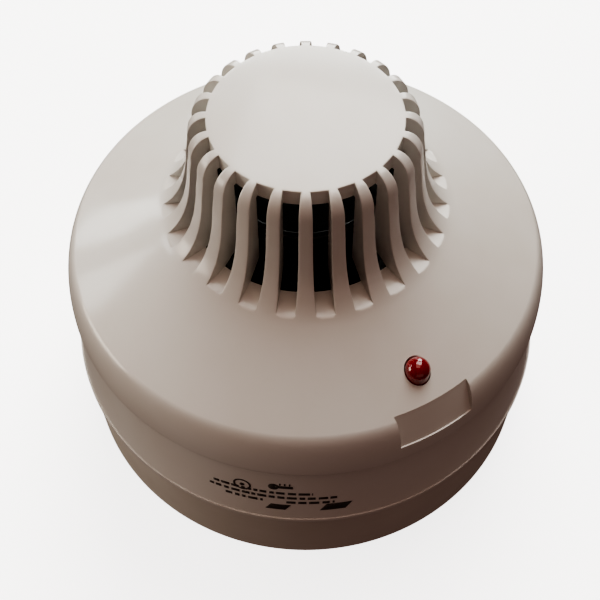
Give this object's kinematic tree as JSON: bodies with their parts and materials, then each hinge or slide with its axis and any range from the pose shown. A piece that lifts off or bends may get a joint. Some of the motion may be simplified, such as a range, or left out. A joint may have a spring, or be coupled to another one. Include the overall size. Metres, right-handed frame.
{
  "type": "heat detector",
  "caption": "Ceiling heat detector: a round mounting base and a twist-on drum head with a slotted dome, a red alarm lens and a thermistor inside.",
  "frame": {"origin": "centre of the mounting base's flat back face, which goes against the ceiling", "axes": "+Z along the detector's axis, from the back towards the dome; -Y is the front, and the lens is 30 degrees from it towards +X"},
  "size_m": [0.1086, 0.1086, 0.0874],
  "materials": {
    "cover": "satin ivory moulding with a fine grain",
    "base": "ivory moulding, slightly greyer than the cover",
    "inner_plastic": "unpolished ivory moulding",
    "black_plastic": "semi-gloss black moulding",
    "white_plastic": "white moulding",
    "red_lens": "clear red epoxy",
    "red_button": "red moulding",
    "board": "green solder mask",
    "steel": "bright nickel or tin plate",
    "brass": "rolled brass",
    "bead": "dipped epoxy",
    "cell_sleeve": "shrink sleeve"
  },
  "bodies": {
    "base": {"mounting_base": "base"},
    "head": {"outer_cover": "cover", "rear_housing": "inner_plastic", "circuit_board": "board", "battery_cell_front": "cell_sleeve", "battery_cell_rear": "cell_sleeve", "contact_spring_front": "steel", "contact_spring_rear": "steel", "contact_plate_minus_front": "steel", "contact_plate_minus_rear": "steel", "contact_plate_plus_front": "brass", "contact_plate_plus_rear": "brass", "board_screw_1": "steel", "board_screw_2": "steel", "board_screw_3": "steel", "housing_screw_1": "steel", "housing_screw_2": "steel", "housing_screw_3": "steel", "sensor_tower": "black_plastic", "tower_cap": "black_plastic", "thermistor_holder": "white_plastic", "thermistor_lead_left": "steel", "thermistor_lead_right": "steel", "thermistor_bead": "bead", "reference_thermistor": "bead", "alarm_led": "red_lens", "led_spacer": "white_plastic", "led_lead_left": "steel", "led_lead_right": "steel", "buzzer_case": "black_plastic", "buzzer_disc": "brass", "radio_board": "board", "radio_shield": "steel", "radio_header": "black_plastic", "antenna_wire": "brass", "controller_chip": "black_plastic", "crystal": "steel", "voltage_regulator": "black_plastic", "storage_capacitor": "cell_sleeve", "inductor": "black_plastic", "jumper_header": "black_plastic", "jumper_cap": "white_plastic", "tamper_switch": "black_plastic", "tamper_spring": "steel", "pairing_switch": "black_plastic"},
    "tamper": {"tamper_plunger": "white_plastic"},
    "pairing": {"pairing_button": "red_button"}
  },
  "joints": [
    {"name": "head_twist", "type": "hinge", "parent": "base", "child": "head", "pos_m": [0, 0, 0.0199], "axis": [0, 0, 1], "range_deg": [0, 15]},
    {"name": "tamper_press", "type": "slide", "parent": "head", "child": "tamper", "axis": [0, 0, 1], "range_m": [0, 0.0015], "stiffness_N_per_m": 300, "deforming": ["tamper_spring"]},
    {"name": "pairing_press", "type": "slide", "parent": "head", "child": "pairing", "axis": [0, 0, 1], "range_m": [0, 0.0005], "stiffness_N_per_m": 1500}
  ]
}
